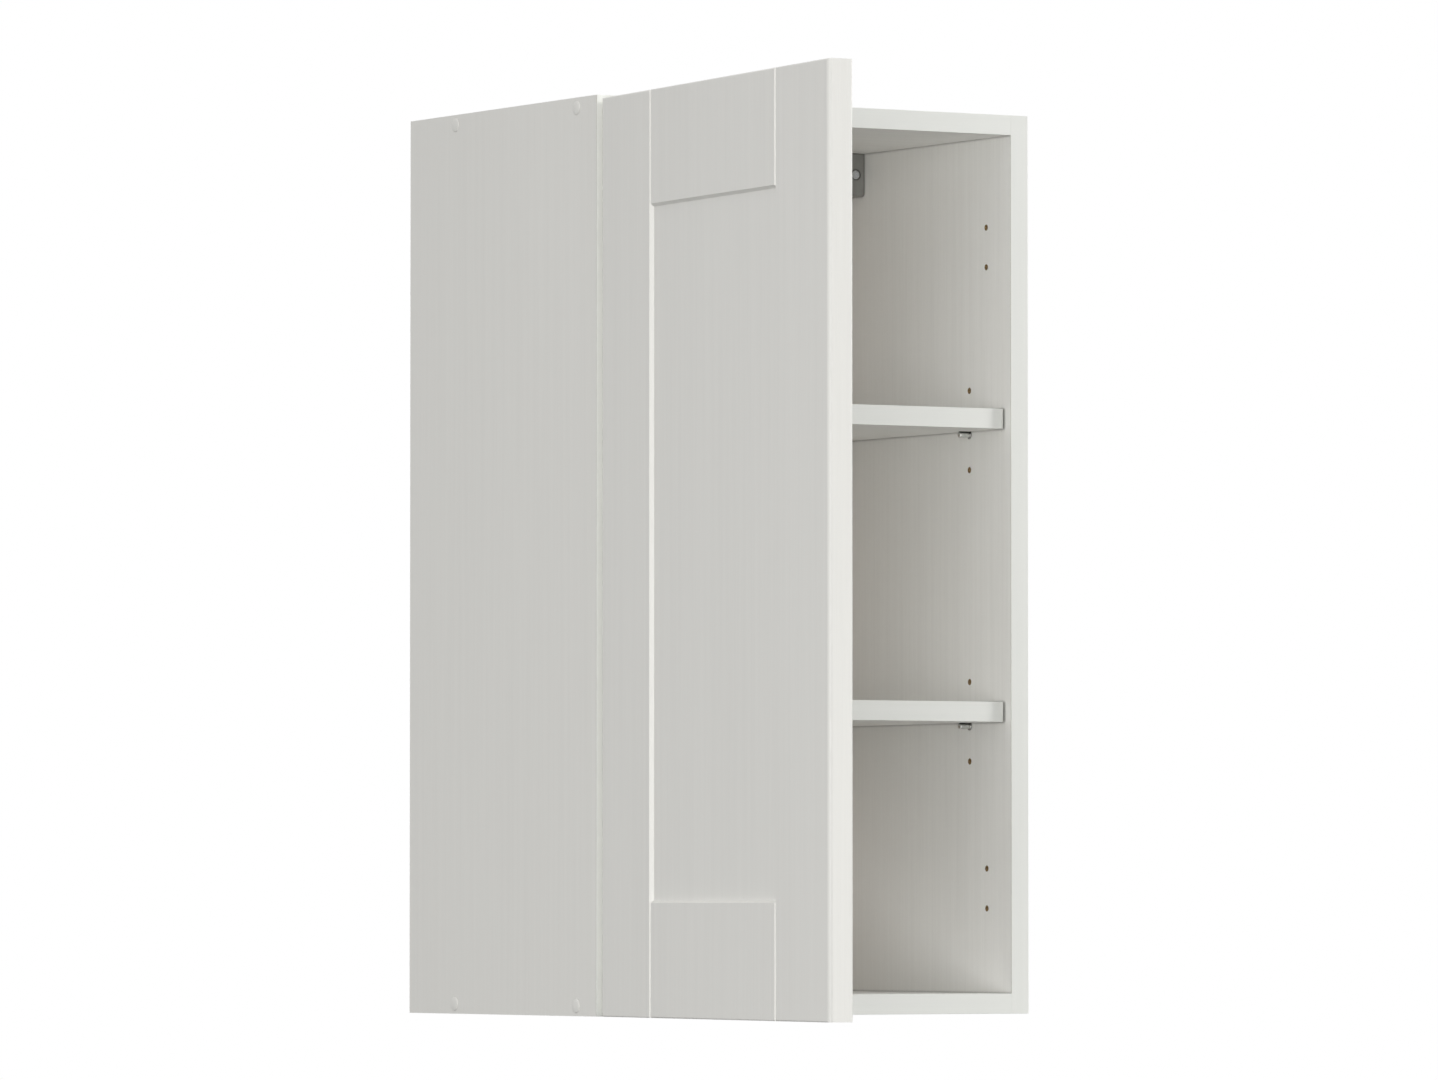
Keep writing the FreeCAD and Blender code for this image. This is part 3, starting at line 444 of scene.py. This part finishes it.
class Turning:
    """What a turned solid measures along its axis: ends, widest stretch and slim radius."""

    def __init__(self, corners, axis):
        self.axis = axis.normalized()
        stations = [corner.dot(self.axis) for corner in corners]
        across = [corner - self.axis * station for corner, station in zip(corners, stations)]
        self.centre = Vector([(min(row) + max(row)) / 2 for row in zip(*across)])
        radii = [(point - self.centre).length for point in across]
        self.low, self.high = min(stations), max(stations)
        self.wide = max(radii)
        broad = [s for s, r in zip(stations, radii) if r > HEAD_SHARE * self.wide]
        self.head_low, self.head_high = min(broad), max(broad)
        self.slim = max((r for r in radii if r < SLIM_SHARE * self.wide), default=self.wide)
        side = self.axis.orthogonal().normalized()
        self.sides = side, self.axis.cross(side)

    def at(self, radius, station, turn=0.0):
        """The point at a radius, a station along the axis and a turn about it."""
        side, up = self.sides
        return self.centre + self.axis * station + (side * math.cos(turn) + up * math.sin(turn)) * radius


def revolve(mesh, turning, profile):
    """Adds the rings of a turned body and the faces between them; a radius of 0 closes an end."""
    rings = []
    for radius, station in profile:
        turns = [math.tau * k / ROUND_STEPS for k in range(ROUND_STEPS if radius else 1)]
        rings.append([mesh.verts.new(turning.at(radius, station, turn)) for turn in turns])
    for first, second in zip(rings, rings[1:]):
        for k in range(ROUND_STEPS):
            ring = [first[k % len(first)], first[(k + 1) % len(first)],
                    second[(k + 1) % len(second)], second[k % len(second)]]
            mesh.faces.new(list(dict.fromkeys(ring)))
    return rings


def domed(mesh, corners, axis, straight):
    """A button with an upright rim for a share of its height and an elliptic crown."""
    body = Turning(corners, axis)
    rim = body.low + straight * (body.high - body.low)
    profile = [(0, body.low), (body.wide, body.low), (body.wide, rim)]
    for k in range(1, CROWN_STEPS):
        lift = QUARTER * k / CROWN_STEPS
        profile.append((body.wide * math.cos(lift), rim + (body.high - rim) * math.sin(lift)))
    revolve(mesh, body, profile + [(0, body.high)])


def peg(mesh, corners):
    """Shelf peg: seat in the panel, thin collar on it, and a pin with a rounded end."""
    inward = Vector((-1 if corners[0].x > 0 else 1, 0, 0))
    body = Turning(corners, inward)
    ease = COLLAR_EASE * (body.head_high - body.head_low)
    nose = NOSE * body.slim
    profile = [(0, body.low), (body.slim, body.low), (body.slim, body.head_low),
               (body.wide, body.head_low), (body.wide, body.head_high - ease),
               (body.wide - ease, body.head_high), (ROOT_RADIUS * body.slim, body.head_high),
               (body.slim, body.head_high + ROOT_RISE * body.slim)]
    for k in range(NOSE_STEPS + 1):
        lift = QUARTER * k / NOSE_STEPS
        profile.append((body.slim - nose * (1 - math.cos(lift)), body.high - nose * (1 - math.sin(lift))))
    revolve(mesh, body, profile + [(0, body.high)])


def screw(mesh, corners, axis):
    """Pan-head screw with a cross recess; the head is at the end where the solid is widest."""
    body = Turning(corners, axis)
    if body.head_low + body.head_high < body.low + body.high:
        body = Turning(corners, -axis)
    tall = body.head_high - body.head_low
    profile = [(0, body.low), (SCREW_TIP * body.slim, body.low),
               (body.slim, body.low + body.slim), (body.slim, body.head_low)]
    for share, lift in PAN_HEAD:
        profile.append((share * body.wide, body.head_low + lift * tall))
    rim = revolve(mesh, body, profile)[-1]
    half, reach = CROSS_HALF * body.wide, CROSS_REACH * body.wide
    outline = []
    for quarter in range(4):
        for x, y in ((reach, -half), (reach, half), (half, half)):
            outline.append((math.hypot(x, y), math.atan2(y, x) + QUARTER * quarter))
    deep = body.high - CROSS_DEPTH * tall
    mouth = [mesh.verts.new(body.at(radius, body.high, turn)) for radius, turn in outline]
    bottom = [mesh.verts.new(body.at(CROSS_TAPER * radius, deep, turn)) for radius, turn in outline]
    loops = []
    for ring in (rim, mouth):
        for first, second in zip(ring, ring[1:] + ring[:1]):
            loops.append(mesh.edges.get((first, second)) or mesh.edges.new((first, second)))
    bmesh.ops.bridge_loops(mesh, edges=loops)
    for k in range(len(mouth)):
        follow = (k + 1) % len(mouth)
        mesh.faces.new((mouth[k], mouth[follow], bottom[follow], bottom[k]))
    mesh.faces.new(bottom)


def remade(node, shape, *settings):
    """One finer piece in place of a CAD node, shaped solid by solid."""
    mesh = bmesh.new()
    for corners in solids(node):
        shape(mesh, corners, *settings)
    bmesh.ops.recalc_face_normals(mesh, faces=mesh.faces)
    data = bpy.data.meshes.new(node + "_fine")
    mesh.to_mesh(data)
    mesh.free()
    data.polygons.foreach_set("use_smooth", [True] * len(data.polygons))
    data.set_sharp_from_angle(angle=SHARP)
    data.materials.append(FINISHES.get(node, steel))
    piece = bpy.data.objects.new(node + "_fine", data)
    scene.collection.objects.link(piece)
    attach(piece, nodes[node]["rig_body"])
    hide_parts(node)


for side, outward in (("left", -ACROSS), ("right", ACROSS)):
    remade(f"{side}_cover_caps", domed, outward, CAP_RIM)
remade("door_bumpers", domed, INTO_ROOM, BUMPER_RIM)
for level in ("upper", "lower"):
    remade(f"{level}_shelf_pegs", peg)
for node in ("hinge_plate_screws", "hinge_arm_screws", "hanger_screws"):
    remade(node, screw, ACROSS)
remade("hinge_cup_screws", screw, INTO_ROOM)


# ---------------------------------------------------------------- stage, light and camera
FLOOR_LEVEL, FLOOR_RADIUS, FLOOR_SIDES = -2.0, 30.0, 96
FADE = 2.5, 18.0  # metres from the middle of the floor, from where to where it turns white
FADE_SHARE = 0.6, 1.0
SKY, GROUND = 0.67, 0.032  # how bright the room is above and below the horizon
HORIZON = 0.3  # half the height of the stretch between them, for a direction of length 1
AIM = Vector((0, -0.3, 0.36))  # what the lamps point at, near the middle of the open cabinet

# the photograph's camera, solved from the edges of the carcass
CAMERA_PLACE = -3.9235, -6.7069, 0.0906
CAMERA_YAW, CAMERA_PITCH = math.radians(30.901), math.radians(2.1711)
LENS, SENSOR = 237.881, 36.0


def floor_finish(name):
    """Pale floor with the shadows that fall on it, which fades to the white background far away."""
    made = Finish(name)
    made.rough(0.7)
    made.colour(made.blend(made.noise((3, 3, 3), 4), tone(240, 240, 238), tone(234, 234, 232)))
    glow = made.node("ShaderNodeEmission")
    glow.inputs["Color"].default_value = WHITE
    away = made.node("ShaderNodeVectorMath", operation="LENGTH")
    made.link(made.place, away.inputs[0])
    bright = made.spread(away.outputs["Value"], *FADE, *FADE_SHARE)
    path = made.node("ShaderNodeLightPath")
    share = made.combine(path.outputs["Is Camera Ray"], bright, "MULTIPLY")
    shown = made.choose(share, made.shader.outputs["BSDF"], glow.outputs["Emission"])
    made.link(shown, made.tree.nodes["Material Output"].inputs["Surface"])
    return made.material


def studio(name):
    """A room, bright above and dim below; the camera and the reflections see plain white instead."""
    world = bpy.data.worlds.new(name)
    world.use_nodes = True
    made = Graph(world.node_tree)
    room = made.tree.nodes["Background"]
    room.inputs["Color"].default_value = WHITE
    level = made.part(made.node("ShaderNodeTexCoord").outputs["Generated"], "Z")
    bright = made.spread(level, -HORIZON, HORIZON, GROUND, SKY, "SMOOTHSTEP")
    made.link(bright, room.inputs["Strength"])
    plain = made.node("ShaderNodeBackground")
    plain.inputs["Color"].default_value = WHITE
    plain.inputs["Strength"].default_value = 1.0
    path = made.node("ShaderNodeLightPath")
    seen = made.combine(path.outputs["Is Camera Ray"], path.outputs["Is Glossy Ray"], "MAXIMUM")
    shown = made.choose(seen, room.outputs["Background"], plain.outputs["Background"])
    made.link(shown, made.tree.nodes["World Output"].inputs["Surface"])
    return world


def towards(direction):
    """The turn of a lamp or camera that looks along a direction."""
    return direction.to_track_quat("-Z", "Y").to_euler()


def lamp(name, place, size, watts):
    """A large soft lamp."""
    data = bpy.data.lights.new(name, "AREA")
    data.shape = "DISK"
    data.size = size
    data.energy = watts
    made = bpy.data.objects.new(name, data)
    made.location = place
    made.rotation_euler = towards(AIM - Vector(place))
    scene.collection.objects.link(made)


ground = bmesh.new()
bmesh.ops.create_circle(ground, cap_ends=True, segments=FLOOR_SIDES, radius=FLOOR_RADIUS)
floor_mesh = bpy.data.meshes.new("floor")
ground.to_mesh(floor_mesh)
ground.free()
floor = bpy.data.objects.new("floor", floor_mesh)
floor.location = (0, 0, FLOOR_LEVEL)
floor.data.materials.append(floor_finish("pale_floor"))
scene.collection.objects.link(floor)
floor.visible_diffuse = False

scene.world = studio("studio")
lamp("key", (-4.05, -5.1, -0.1), size=3.6, watts=190)
lamp("fill", (6.85, -3.95, 2.95), size=2.4, watts=326)

camera_data = bpy.data.cameras.new("photo")
camera_data.sensor_width = SENSOR
camera_data.lens = LENS
camera_data.clip_end = 200.0
camera = bpy.data.objects.new("photo", camera_data)
camera.location = CAMERA_PLACE
camera.rotation_euler = towards(Vector((math.sin(CAMERA_YAW) * math.cos(CAMERA_PITCH),
                                        math.cos(CAMERA_YAW) * math.cos(CAMERA_PITCH),
                                        math.sin(CAMERA_PITCH))))
scene.collection.objects.link(camera)
scene.camera = camera
